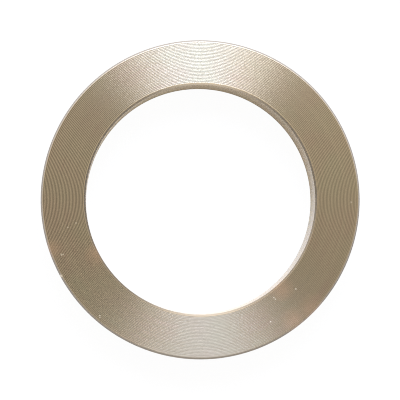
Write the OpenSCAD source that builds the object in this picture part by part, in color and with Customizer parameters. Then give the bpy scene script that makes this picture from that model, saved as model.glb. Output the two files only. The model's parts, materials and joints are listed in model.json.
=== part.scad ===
// Turned copper-alloy washer
//
// A flat ring, turned from bar on a lathe, that seals or spaces a fitting on a bolt or a pipe.
// The ring lies flat: its lower face is z = 0, and the axis of its bore is the Z axis.
// The facing tool leaves the marks on both faces: it moves one feed for each turn of the work,
// and its round nose cuts one shallow furrow on every turn.
// All lengths are in millimetres.

/* [Ring] */
// Outside diameter
outer_d = 25; // [23:0.5:32]
// Diameter of the bore
bore_d = 18; // [10:0.5:19]
// Thickness from face to face
thickness = 4; // [1.5:0.1:6]

/* [Edges] */
// Radius of the rounded outside edges
edge_r = 0.15; // [0.1:0.05:0.5]
// Leg of the 45 degree chamfer at both mouths of the bore
bore_chamfer = 0.15; // [0.05:0.05:0.4]

/* [Turned faces] */
// Feed of the facing tool for one turn, which is the spacing of the furrows
feed = 0.112; // [0.1:0.001:0.25]
// Radius of the tool's nose, which is the radius of a furrow's bottom
nose_r = 0.8; // [0.15:0.01:1.2]
// Width of the flat land left between two furrows
land_w = 0.013; // [0.01:0.001:0.03]
// Width of the plain margin between the furrows and either edge of a face
margin_w = 0.03; // [0.02:0.01:0.15]

/* [Hidden] */
$fn = 180;

outer_r = outer_d / 2;
bore_r = bore_d / 2;

// The furrows fill the face between the two plain margins with a whole number of turns.
face_in_r = bore_r + bore_chamfer + margin_w;
face_out_r = outer_r - edge_r - margin_w;
turns = floor((face_out_r - face_in_r) / feed);
first_r = (face_in_r + face_out_r - (turns - 1) * feed) / 2;

// The nose stands this far above the face at the bottom of its cut.
furrow_w = feed - land_w;
nose_lift = sqrt(nose_r * nose_r - furrow_w * furrow_w / 4);

// The part of a square corner that lies outside an edge rounded with radius r.
module corner_waste(r) {
    difference() {
        square(2 * r);
        circle(r);
    }
}

// Half of the ring's section, with the rounded outside edges and the chamfered bore.
module ring_section() {
    difference() {
        translate([bore_r, 0])
            square([outer_r - bore_r, thickness]);
        translate([outer_r - edge_r, thickness - edge_r])
            corner_waste(edge_r);
        translate([outer_r - edge_r, edge_r])
            mirror([0, 1])
                corner_waste(edge_r);
        translate([bore_r, thickness])
            rotate(45)
                square(bore_chamfer * sqrt(2), center = true);
        translate([bore_r, 0])
            rotate(45)
                square(bore_chamfer * sqrt(2), center = true);
    }
}

// The tool's nose on every turn, standing over a face at height zero.
module nose_passes() {
    for (turn = [0 : turns - 1])
        translate([first_r + turn * feed, nose_lift])
            circle(nose_r);
}

// The finished washer: the section with both faces furrowed, turned once round the axis.
module washer() {
    color("#B49E78")
        rotate_extrude()
            difference() {
                ring_section();
                translate([0, thickness])
                    nose_passes();
                mirror([0, 1])
                    nose_passes();
            }
}

washer();
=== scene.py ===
# %% [markdown]
# # A turned washer
# A washer is a flat ring that seals or spaces a joint. This one is a yellow copper alloy, close to
# brass, turned on a lathe, and it lies on a white table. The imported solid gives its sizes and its
# place. So the lesson starts by loading that solid and keeping its box, which the finished piece
# must not outgrow.

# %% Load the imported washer
import json
import math

import bmesh
import bpy
from mathutils import Matrix, Vector


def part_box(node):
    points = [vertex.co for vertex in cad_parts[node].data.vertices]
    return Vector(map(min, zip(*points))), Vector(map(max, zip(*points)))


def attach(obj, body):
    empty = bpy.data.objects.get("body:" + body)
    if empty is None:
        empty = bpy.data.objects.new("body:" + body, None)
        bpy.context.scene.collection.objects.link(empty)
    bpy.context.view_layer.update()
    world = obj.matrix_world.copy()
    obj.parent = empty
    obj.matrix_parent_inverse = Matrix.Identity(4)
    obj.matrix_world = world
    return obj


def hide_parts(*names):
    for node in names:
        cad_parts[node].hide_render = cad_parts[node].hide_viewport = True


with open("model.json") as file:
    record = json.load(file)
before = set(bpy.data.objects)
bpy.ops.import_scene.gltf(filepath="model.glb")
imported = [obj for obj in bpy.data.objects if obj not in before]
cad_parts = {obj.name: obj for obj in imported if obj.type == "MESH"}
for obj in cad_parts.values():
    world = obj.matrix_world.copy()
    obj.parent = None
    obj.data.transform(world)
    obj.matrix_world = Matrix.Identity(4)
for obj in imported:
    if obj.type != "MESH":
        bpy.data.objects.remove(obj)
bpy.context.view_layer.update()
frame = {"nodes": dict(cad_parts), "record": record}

MM = 0.001
print("nodes:", sorted(frame["nodes"]))

# %% [markdown]
# ## Sizes
# The outside diameter and the thickness are read off the solid's box. The record states the radius
# of the bore and the length of its wall, and what is left of the thickness is the two chamfers.
# Only the rounding of the outside edges isn't stated anywhere, so it is written here.

# %% Read the sizes
low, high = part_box("washer")
bore = next(m for m in frame["record"]["mounts"] if m["name"] == "bore")
outer_r = (high.x - low.x) / 2
thick = high.z - low.z
bore_r = bore["dims"]["r_mm"] * MM
bore_chamfer = (thick - bore["dims"]["length_mm"] * MM) / 2
EDGE_R = 0.15 * MM
print(f"outside {2 * outer_r / MM:.2f} mm, bore {2 * bore_r / MM:.2f} mm, thick {thick / MM:.2f} mm")

# %% [markdown]
# ## Section
# Everything on a lathe is a section turned round an axis, so the washer starts as the outline of
# half a cut through it: four corners, with the two outside corners rounded and the two at the bore
# cut off straight. Bevel does both: with one segment it chamfers, and with many it rounds.

# %% Draw the section
EDGE_SEGMENTS = 8
ring = bmesh.new()
outline = [(bore_r, 0), (outer_r, 0), (outer_r, thick), (bore_r, thick)]
corners = [ring.verts.new((r, 0, z)) for r, z in outline]
ring.faces.new(corners)
for edge_verts, size, segments in (
    (corners[1:3], EDGE_R, EDGE_SEGMENTS),
    (corners[:1] + corners[3:], bore_chamfer, 1),
):
    bmesh.ops.bevel(
        ring, geom=edge_verts, offset=size, offset_type="OFFSET", segments=segments,
        profile=0.5, affect="VERTICES", material=-1,
    )
bmesh.ops.delete(ring, geom=ring.faces[:], context="FACES_ONLY")
print("section:", len(ring.verts), "points")

# %% [markdown]
# ## Room for the furrows
# The facing tool moved on a little on every turn, so its round nose left one long spiral furrow on
# each face. A furrow needs points to bend at. So the line of each face is divided into short steps
# before the section is turned: more of them on the upper face, which is the one that shows.

# %% Divide the two faces
FEED = 0.112 * MM
STEPS_PER_TURN = {thick: 8, 0: 4}
LEVEL_WITH = EDGE_R / 100
for height, steps in STEPS_PER_TURN.items():
    face_line = [e for e in ring.edges if all(abs(v.co.z - height) < LEVEL_WITH for v in e.verts)]
    cuts = round(face_line[0].calc_length() / FEED * steps) - 1
    bmesh.ops.subdivide_edges(ring, edges=face_line, cuts=cuts)
    print(f"face at {height / MM:.1f} mm: {cuts + 1} steps")

# %% [markdown]
# ## Turning
# Spin carries the outline once round the axis, as the lathe does, and merging closes the seam where
# it meets its own start. A spun shell can come out inside out, so its normals are worked out again.

# %% Turn the section
AROUND = 192
bmesh.ops.spin(
    ring, geom=ring.verts[:] + ring.edges[:], cent=(0, 0, 0), axis=(0, 0, 1),
    angle=math.tau, steps=AROUND, use_merge=True,
)
bmesh.ops.recalc_face_normals(ring, faces=ring.faces[:])
print("turned:", len(ring.faces), "faces, volume", round(ring.calc_volume() / MM**3, 1), "mm3")

# %% [markdown]
# ## The spiral furrow
# Followed counterclockwise, the furrow goes inwards, by one feed for a whole turn. So the place of
# a point across its furrow depends on its radius and on its angle. The jaws of a chuck press a thin
# ring a little out of round, and so are its marks: a term that comes back twice in a turn does that.
# The depth is the arc that the nose of the tool leaves. The furrow is real geometry and not a bump
# map, so its slopes catch the light. Each point also keeps how deep it is sunk, for the material.

# %% Cut the furrow
NOSE_R = 0.8 * MM
LAND = 0.013 * MM
MARGIN = 0.03 * MM
START_TURN = 0.42
OUT_OF_ROUND = 0.12
furrow_half = (FEED - LAND) / 2
nose_lift = math.sqrt(NOSE_R**2 - furrow_half**2)
face_in = bore_r + bore_chamfer + MARGIN
face_out = outer_r - EDGE_R - MARGIN


def furrow_depth(x, y):
    """How deep the nose cut at this place on a face."""
    radius = math.hypot(x, y)
    if not face_in < radius < face_out:
        return 0
    angle = math.atan2(y, x)
    turn = radius / FEED + angle / math.tau - START_TURN - OUT_OF_ROUND * math.cos(2 * angle)
    across = (turn % 1 - 0.5) * FEED
    return max(0, math.sqrt(NOSE_R**2 - across**2) - nose_lift)


sunk = ring.verts.layers.float.new("sunk")
for vert in ring.verts:
    on_upper = abs(vert.co.z - thick) < LEVEL_WITH
    on_lower = abs(vert.co.z) < LEVEL_WITH
    if on_upper or on_lower:
        depth = furrow_depth(vert.co.x, vert.co.y)
        vert.co.z += -depth if on_upper else depth
        vert[sunk] = depth / (NOSE_R - nose_lift)
print(f"furrow {(NOSE_R - nose_lift) / MM * 1000:.1f} um deep")

# %% [markdown]
# ## The finished piece
# The mesh becomes an object at the origin, in metres, where the solid lies. It stands for the solid
# in the picture. Its faces are smooth, and only edges that turn by more than a third of a right
# angle stay crisp, which are the chamfers.

# %% Make the object
CRISP = math.radians(30)
washer_mesh = bpy.data.meshes.new("turned_washer")
ring.to_mesh(washer_mesh)
ring.free()
washer_mesh.shade_smooth()
washer_mesh.set_sharp_from_angle(angle=CRISP)
turned_washer = bpy.data.objects.new("turned_washer", washer_mesh)
bpy.context.scene.collection.objects.link(turned_washer)
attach(turned_washer, "root")
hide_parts("washer")
print("washer:", len(washer_mesh.polygons), "faces")

# %% [markdown]
# ## Helpers for materials
# A colour picked off a screen is sRGB, and a shader calculates with linear light, so one function
# converts it. A second one adds any kind of node to a tree. Each input gets a plain value, or a link
# where the output of another node is given.


# %% Colour and node helpers
def linear(hex_code):
    """An sRGB hex colour as linear red, green, blue and alpha."""
    parts = [int(hex_code[i:i + 2], 16) / 255 for i in (1, 3, 5)]
    return [c / 12.92 if c <= 0.04045 else ((c + 0.055) / 1.055) ** 2.4 for c in parts] + [1.0]


def add(tree, kind, inputs=None, **settings):
    """Adds one node and returns its outputs. An input takes a value or another node's output."""
    node = tree.nodes.new(kind)
    for key, value in settings.items():
        setattr(node, key, value)
    for key, value in (inputs or {}).items():
        if isinstance(value, bpy.types.NodeSocket):
            tree.links.new(value, node.inputs[key])
        else:
            node.inputs[key].default_value = value
    return node.outputs


def new_material(name):
    """A material with an empty tree of nodes."""
    material = bpy.data.materials.new(name)
    material.use_nodes = True
    material.node_tree.nodes.clear()
    return material


print("middle grey #808080 as linear light:", round(linear("#808080")[0], 3))

# %% [markdown]
# ## Places on the washer
# A pattern has to know where on the piece it is. Object coordinates stay with the piece wherever it
# goes, so every pattern starts from them. On a turned piece three measures matter: how far a point
# is from the axis, in which direction, and how high.

# %% Measure from the axis
# Brass turned with a fine feed: to the eye a soft gold sheen that stretches across the marks.
brass = new_material("turned_brass")
tree = brass.node_tree
coords = add(tree, "ShaderNodeTexCoord")["Object"]
flat = add(tree, "ShaderNodeVectorMath", {0: coords, 1: (1, 1, 0)}, operation="MULTIPLY")[0]
radius = add(tree, "ShaderNodeVectorMath", {0: flat}, operation="LENGTH")["Value"]
around = add(tree, "ShaderNodeVectorMath", {0: flat}, operation="NORMALIZE")[0]
around_parts = add(tree, "ShaderNodeSeparateXYZ", {0: around})
height = add(tree, "ShaderNodeSeparateXYZ", {0: coords})["Z"]
print("measures:", len(tree.nodes), "nodes")

# %% [markdown]
# ## Turned brass
# Brass fresh from the lathe is a pale gold. After some time in a drawer it is duller and browner,
# in faint blotches, and the tool's marks still run round it. So the colour is one metal with
# blotches of tarnish, and streaks that follow the turning. The streaks come from noise that is
# stretched: it changes fast across the turning and slowly along it.

# %% Noise for streaks and blotches
STREAK_W = 0.25 * MM
BLOTCH = 3.0 * MM
streak_radius = add(tree, "ShaderNodeMath", {0: radius, 1: STREAK_W}, operation="DIVIDE")[0]
streak_height = add(tree, "ShaderNodeMath", {0: height, 1: STREAK_W}, operation="DIVIDE")[0]
streak_place = add(
    tree, "ShaderNodeCombineXYZ",
    {"X": around_parts["X"], "Y": around_parts["Y"], "Z": streak_radius},
)[0]
streaks = add(
    tree, "ShaderNodeTexNoise",
    {"Vector": streak_place, "W": streak_height, "Scale": 1.0, "Detail": 2.0},
    noise_dimensions="4D",
)["Fac"]
blotches = add(
    tree, "ShaderNodeTexNoise", {"Vector": coords, "Scale": 1 / BLOTCH, "Detail": 3.0},
)["Fac"]
print(f"streaks {STREAK_W / MM:.2f} mm wide, blotches {BLOTCH / MM:.1f} mm")

# %% Tarnish
BRASS = "#BCAD92"
TARNISH_BROWN = "#B39F88"
TARNISH_OLIVE = "#B0A68A"
BLOTCH_LOW, BLOTCH_HIGH = 0.35, 0.65
STREAK_LOW, STREAK_HIGH = 0.3, 0.7
olive_share = add(
    tree, "ShaderNodeMapRange",
    {"Value": blotches, "From Min": BLOTCH_LOW, "From Max": BLOTCH_HIGH},
)[0]
bright_share = add(
    tree, "ShaderNodeMapRange",
    {"Value": streaks, "From Min": STREAK_LOW, "From Max": STREAK_HIGH},
)[0]
# A Mix node has inputs with the same name for each kind of data, so they go by number. For colours
# input 0 is the share, 6 and 7 are the two colours, and the result is output 2.
tarnish = add(
    tree, "ShaderNodeMix",
    {0: olive_share, 6: linear(TARNISH_BROWN), 7: linear(TARNISH_OLIVE)}, data_type="RGBA",
)[2]
colour = add(
    tree, "ShaderNodeMix", {0: bright_share, 6: tarnish, 7: linear(BRASS)}, data_type="RGBA",
)[2]
print("tarnish:", TARNISH_BROWN, "to", TARNISH_OLIVE)

# %% [markdown]
# ## Crests and bottoms of the furrow
# The crests, and the walls that have no furrow, are painted lighter than the middle tone, and the
# bottoms darker. This is partly dirt and wear, and partly painted shade in the bottoms and a painted
# sheen on the crests, more so towards the upper left. The share that each point is sunk was stored
# with the mesh, so here it darkens the bottoms and makes them rougher. Rough bottoms catch the window
# from further away than the smooth crests do. So the lines fade in the bright fans and are clear at
# the sides.

# %% Darken the bottoms
# The painted shade in the bottoms and the painted sheen on the crests grow towards this side, the
# upper left.
DIRT_AND_SHADE_SIDE = Vector((-0.77, 0.64, 0))
DIRT_AND_SHADE_LEAST, DIRT_AND_SHADE_MOST = 0.29, 0.52
sunk_share = add(tree, "ShaderNodeAttribute", attribute_name="sunk")["Fac"]
towards_shade_side = add(
    tree, "ShaderNodeVectorMath", {0: coords, 1: DIRT_AND_SHADE_SIDE}, operation="DOT_PRODUCT",
)["Value"]
dirt_and_painted_shade = add(
    tree, "ShaderNodeMapRange",
    {
        "Value": towards_shade_side, "From Min": -outer_r, "From Max": outer_r,
        "To Min": DIRT_AND_SHADE_LEAST, "To Max": DIRT_AND_SHADE_MOST,
    },
)[0]
# Painted shade with dirt in the bottoms and a painted sheen on the crests: the colour is scaled up
# where nothing is sunk and down where the furrow is deepest.
rise = add(tree, "ShaderNodeMapRange", {"Value": sunk_share, "To Min": 1.0, "To Max": -1.0})[0]
painted_shade_and_sheen = add(tree, "ShaderNodeMath", {0: dirt_and_painted_shade, 1: rise, 2: 1.0}, operation="MULTIPLY_ADD")[0]
colour = add(tree, "ShaderNodeVectorMath", {0: colour, "Scale": painted_shade_and_sheen}, operation="SCALE")[0]
print(f"bottoms: {DIRT_AND_SHADE_LEAST:.0%} to {DIRT_AND_SHADE_MOST:.0%} darker than the middle tone")

# %% Roughen the bottoms
DULL_ROUGH, BRIGHT_ROUGH = 0.25, 0.20
BOTTOM_ROUGHER = 0.16
crest_rough = add(
    tree, "ShaderNodeMapRange",
    {"Value": bright_share, "To Min": DULL_ROUGH, "To Max": BRIGHT_ROUGH},
)[0]
rough = add(
    tree, "ShaderNodeMath", {0: sunk_share, 1: BOTTOM_ROUGHER, 2: crest_rough},
    operation="MULTIPLY_ADD",
)[0]
print(f"roughness: {BRIGHT_ROUGH} on bright crests, up to {DULL_ROUGH + BOTTOM_ROUGHER:.2f} below")

# %% [markdown]
# ## Broken edges
# After turning, the sharp edges are taken off. That leaves greyer, cleaner metal on the chamfers of
# the bore and on the outside edges. The outside edges are also brushed: matt, with no clear
# direction, so they look pale all round and not only towards the window. A mask finds them: near
# the top or the bottom, but outside or inside the flat of the face.

# %% Find the edges
SOFT = 0.03 * MM
above_middle = add(tree, "ShaderNodeMath", {0: height, 1: thick / 2}, operation="SUBTRACT")[0]
from_middle = add(tree, "ShaderNodeMath", {0: above_middle}, operation="ABSOLUTE")[0]
wall_end = thick / 2 - EDGE_R
flat_out = outer_r - EDGE_R
flat_in = bore_r + bore_chamfer
near_ends, past_flat_out, past_flat_in = [
    add(tree, "ShaderNodeMapRange", {"Value": place, "From Min": start, "From Max": end})[0]
    for place, start, end in (
        (from_middle, wall_end - SOFT, wall_end),
        (radius, flat_out, flat_out + SOFT),
        (radius, flat_in, flat_in - SOFT),
    )
]
outside_edge, bore_edge = [
    add(tree, "ShaderNodeMath", {0: near_ends, 1: past_flat}, operation="MULTIPLY")[0]
    for past_flat in (past_flat_out, past_flat_in)
]
print(f"flat of the face: radius {flat_in / MM:.2f} to {flat_out / MM:.2f} mm")

# %% Brush the edges
EDGE_METAL = "#ADA496"
EDGE_ROUGH = 0.68
GRAIN = 0.9
broken = add(tree, "ShaderNodeMath", {0: outside_edge, 1: bore_edge}, operation="MAXIMUM")[0]
colour = add(
    tree, "ShaderNodeMix", {0: broken, 6: colour, 7: linear(EDGE_METAL)}, data_type="RGBA",
)[2]
# For plain numbers a Mix node's two values are inputs 2 and 3, and the result is output 0.
rough = add(
    tree, "ShaderNodeMix", {0: outside_edge, 2: rough, 3: EDGE_ROUGH}, data_type="FLOAT",
)[0]
grain = add(tree, "ShaderNodeMapRange", {"Value": outside_edge, "To Min": GRAIN, "To Max": 0.0})[0]
print("edges:", EDGE_METAL)

# %% [markdown]
# ## Marks of use
# The photograph shows a few reddish stains where the alloy has lost its yellow, and some tiny bare
# spots where something hard touched the upper face. Each is a place on that face with a size, in
# millimetres, and its mask is the distance from that place.


# %% Masks for spots
def spots(places, core):
    """A mask of round spots on the upper face, full up to a share of their size."""
    mask = 0.0
    for x, y, size in places:
        place = (x * MM, y * MM, thick)
        away = add(
            tree, "ShaderNodeVectorMath", {0: coords, 1: place}, operation="DISTANCE",
        )["Value"]
        spot = add(
            tree, "ShaderNodeMapRange",
            {"Value": away, "From Min": size * MM, "From Max": core * size * MM},
        )[0]
        mask = add(tree, "ShaderNodeMath", {0: mask, 1: spot}, operation="MAXIMUM")[0]
    return mask


# Each mark has its place across and up from the middle, and its size.
STAINS = ((8.9, -8.7, 1.5), (7.3, -9.5, 1.2), (6.3, -7.0, 1.1), (-8.2, -4.3, 1.0), (-11.6, -3.9, 0.9))
SPECKS = (
    (-10.87, -4.32, 0.10), (-10.72, -4.31, 0.08), (-10.87, -5.98, 0.16), (7.44, -7.00, 0.10),
    (5.72, -7.68, 0.08), (5.84, -7.80, 0.08), (5.46, -9.57, 0.08), (-7.88, -9.06, 0.08),
    (-7.86, -9.20, 0.08), (-9.74, -1.86, 0.07), (-10.38, -2.20, 0.07), (11.81, -0.20, 0.07),
)
STAIN_CORE = 0.2
SPECK_CORE = 0.5
stain_mask = spots(STAINS, STAIN_CORE)
speck_mask = spots(SPECKS, SPECK_CORE)
print("marks:", len(STAINS), "stains and", len(SPECKS), "specks")

# %% Stains and specks
STAIN = "#DAB698"
BARE = "#E6DAC4"
STAIN_LEAST, STAIN_MOST = 0.25, 0.55
PATCHY_LOW, PATCHY_HIGH = 0.3, 0.6
patchy = add(
    tree, "ShaderNodeMapRange",
    {
        "Value": blotches, "From Min": PATCHY_LOW, "From Max": PATCHY_HIGH,
        "To Min": STAIN_LEAST, "To Max": STAIN_MOST,
    },
)[0]
stained = add(tree, "ShaderNodeMath", {0: stain_mask, 1: patchy}, operation="MULTIPLY")[0]
for share, mark in ((stained, STAIN), (speck_mask, BARE)):
    colour = add(
        tree, "ShaderNodeMix", {0: share, 6: colour, 7: linear(mark)}, data_type="RGBA",
    )[2]
print("stains:", STAIN, "specks:", BARE)

# %% [markdown]
# ## The metal
# Fine turning reflects like a brushed metal: light spreads far across the marks and little along
# them. Anisotropy does that, with its direction round the axis. It draws the two bright fans that
# point from the bore to the rim.

# %% The metal
QUARTER_TURN = 0.25
tangent = add(tree, "ShaderNodeTangent", direction_type="RADIAL", axis="Z")[0]
surface = add(
    tree, "ShaderNodeBsdfPrincipled",
    {
        "Base Color": colour, "Metallic": 1.0, "Roughness": rough,
        "Anisotropic": grain, "Anisotropic Rotation": QUARTER_TURN, "Tangent": tangent,
    },
)[0]
add(tree, "ShaderNodeOutputMaterial", {"Surface": surface})
washer_mesh.materials.append(brass)
print("brass:", len(tree.nodes), "nodes")

# %% [markdown]
# ## Table
# The washer lies on a white table, a plain square far wider than the picture. It lies a hair below
# the washer, because two faces in one plane would show through each other.

# %% White table
FLOOR_HALF = 1.5
TABLE_GAP = 0.01 * MM
table = bmesh.new()
bmesh.ops.create_grid(table, x_segments=1, y_segments=1, size=FLOOR_HALF)
bmesh.ops.translate(table, verts=table.verts[:], vec=(0, 0, -TABLE_GAP))
table_mesh = bpy.data.meshes.new("white_table")
table.to_mesh(table_mesh)
table.free()
white_table = bpy.data.objects.new("white_table", table_mesh)
bpy.context.scene.collection.objects.link(white_table)
print("table:", 2 * FLOOR_HALF, "m wide")

# %% [markdown]
# ## Paper
# For the light in the room the table is matt paper. The camera sees it glow almost white, with a
# small share of the paper's own shading on top, which keeps the washer's soft shadow. So the ground
# is as white as in the photograph. Mirrored rays see a little of that glow.

# %% White paper
PAPER = "#E8E8E8"
SHADOW_SHARE = 0.05
CAMERA_GLOW = 0.965
MIRROR_GLOW = 0.1
# Matt white paper: to the eye an even white with a soft shadow and no highlight.
paper = new_material("white_paper")
tree = paper.node_tree
ray = add(tree, "ShaderNodeLightPath")
mirrored = add(
    tree, "ShaderNodeMath", {0: ray["Is Glossy Ray"], 1: ray["Is Transmission Ray"]},
    operation="MAXIMUM",
)[0]
mirror_glow = add(tree, "ShaderNodeMath", {0: mirrored, 1: MIRROR_GLOW}, operation="MULTIPLY")[0]
glow_level = add(
    tree, "ShaderNodeMath", {0: ray["Is Camera Ray"], 1: CAMERA_GLOW, 2: mirror_glow},
    operation="MULTIPLY_ADD",
)[0]
share = add(
    tree, "ShaderNodeMapRange",
    {"Value": ray["Is Camera Ray"], "To Min": 1.0, "To Max": SHADOW_SHARE},
)[0]
paper_colour = add(
    tree, "ShaderNodeVectorMath", {0: linear(PAPER)[:3], "Scale": share}, operation="SCALE",
)[0]
scatter = add(tree, "ShaderNodeBsdfDiffuse", {"Color": paper_colour})[0]
glow = add(tree, "ShaderNodeEmission", {"Strength": glow_level})[0]
both = add(tree, "ShaderNodeAddShader", {0: scatter, 1: glow})[0]
add(tree, "ShaderNodeOutputMaterial", {"Surface": both})
table_mesh.materials.append(paper)
# Rays that see the glow come upon it by themselves, so no light samples are spent on it.
paper.cycles.emission_sampling = "NONE"
print("paper:", len(tree.nodes), "nodes")

# %% [markdown]
# ## Room
# The metal mirrors the whole room, so the room is part of its look. It is dim and slightly warm,
# with soft pale patches: six low down, like walls all round, and two higher up beside the window.
# The brightest wall is the one behind the washer. Each patch is a lobe around one direction, made
# with a power of the cosine. The camera sees the room as white.


# %% Walls
def sky_direction(side, lean):
    """A direction by its compass side, counted from the right, and its lean from straight up."""
    side, lean = math.radians(side), math.radians(lean)
    return Vector((math.sin(lean) * math.cos(side), math.sin(lean) * math.sin(side), math.cos(lean)))


ROOM_EVEN = 0.02
WALL_SPREAD = 8.0
# Each patch has a side and a lean, in degrees, and a level.
WALLS = (
    (38, 40, 1.75),
    (142, 40, 1.4),
    (30, 80, 0.4),
    (90, 80, 2.7),
    (150, 80, 0.8),
    (210, 80, 0.5),
    (270, 80, 1.8),
    (330, 80, 0.4),
)
room = bpy.data.worlds.new("room")
room.use_nodes = True
tree = room.node_tree
tree.nodes.clear()
direction = add(tree, "ShaderNodeTexCoord")["Generated"]
level = ROOM_EVEN
for side, lean, wall_level in WALLS:
    facing = add(
        tree, "ShaderNodeVectorMath", {0: direction, 1: sky_direction(side, lean)},
        operation="DOT_PRODUCT",
    )["Value"]
    ahead = add(tree, "ShaderNodeMath", {0: facing, 1: 0.0}, operation="MAXIMUM")[0]
    lobe = add(tree, "ShaderNodeMath", {0: ahead, 1: WALL_SPREAD}, operation="POWER")[0]
    level = add(
        tree, "ShaderNodeMath", {0: lobe, 1: wall_level, 2: level}, operation="MULTIPLY_ADD",
    )[0]
print("room:", len(WALLS), "pale patches")

# %% Room
ROOM = "#FFF8EE"
SEEN_ROOM = "#FFFFFF"
walls = add(tree, "ShaderNodeBackground", {"Color": linear(ROOM), "Strength": level})[0]
white = add(tree, "ShaderNodeBackground", {"Color": linear(SEEN_ROOM)})[0]
camera_ray = add(tree, "ShaderNodeLightPath")["Is Camera Ray"]
mixed = add(tree, "ShaderNodeMixShader", {0: camera_ray, 1: walls, 2: white})[0]
add(tree, "ShaderNodeOutputWorld", {"Surface": mixed})
bpy.context.scene.world = room
print("room:", ROOM, "and for the camera", SEEN_ROOM)

# %% [markdown]
# ## Window
# A window high up behind the washer shows blue sky, and a thin curtain spreads some of its light
# to both sides. Each is a soft lamp: a narrow blue one and a wide, paler one, in the same direction.
# Turned metal spreads light mostly across its marks, so it mirrors them just where the marks run
# across that direction. That draws the pale fans at twelve and at six o'clock, which are whiter
# inside than at their edges.

# %% Window
WINDOW_SIDE = 87
WINDOW_LEAN = 36
# Each lamp has a name, a colour, two half sizes in degrees, a radiance and a distance in metres.
# The curtain hangs nearer than the window: where two lamps share a plane, a ray can miss one.
WINDOWS = (
    ("curtain", "#DDE6FF", 16, 13, 10.5, 0.45),
    ("window", "#8BB9FF", 8, 13, 8.2, 0.5),
)
towards = sky_direction(WINDOW_SIDE, WINDOW_LEAN)
for name, hue, half_width, half_height, radiance, far in WINDOWS:
    lamp = bpy.data.lights.new(name, "AREA")
    lamp.shape = "RECTANGLE"
    lamp.size = 2 * far * math.tan(math.radians(half_width))
    lamp.size_y = 2 * far * math.tan(math.radians(half_height))
    lamp.energy = math.pi * radiance * lamp.size * lamp.size_y
    lamp.color = linear(hue)[:3]
    window = bpy.data.objects.new(name, lamp)
    bpy.context.scene.collection.objects.link(window)
    window.location = towards * far
    window.rotation_euler = towards.to_track_quat("Z", "Y").to_euler()
    print(f"{name}: {lamp.size:.2f} by {lamp.size_y:.2f} m, {lamp.energy:.2f} W")

# %% [markdown]
# ## Camera
# The photograph looks almost straight down, from a little to the lower left, so the wall of the bore
# shows at the upper right and hides at the lower left. The lens is long, and the ring's outside
# circle takes up four fifths of the picture. The turning marks are only a pixel and a half apart.
# So the pixel filter is narrow, and the denoiser works from the picture alone: guided by the colours
# and normals of such fine marks, it would blur them.

# %% Camera
PICTURE = 400
RING_PIXELS = 319.7
LENS_PIXELS = 2000
VIEW_SIDE = 218
VIEW_TILT = 3.4
NEAREST = 0.01
AIM = Vector((-0.064 * MM, -0.051 * MM, thick))
camera_data = bpy.data.cameras.new("camera")
camera_data.lens = camera_data.sensor_width * LENS_PIXELS / PICTURE
camera_data.clip_start = NEAREST
camera = bpy.data.objects.new("camera", camera_data)
bpy.context.scene.collection.objects.link(camera)
away = sky_direction(VIEW_SIDE, VIEW_TILT)
distance = LENS_PIXELS * 2 * outer_r / RING_PIXELS
right = Vector((0, 1, 0)).cross(away).normalized()
upward = away.cross(right)
camera.location = AIM + away * distance
camera.rotation_euler = Matrix((right, upward, away)).transposed().to_euler()
bpy.context.scene.camera = camera
bpy.context.scene.view_settings.view_transform = "Standard"
bpy.context.scene.cycles.denoising_input_passes = "RGB"
bpy.context.scene.cycles.filter_width = 1.0
print(f"camera {distance / MM:.0f} mm away, lens {camera_data.lens:.0f} mm")
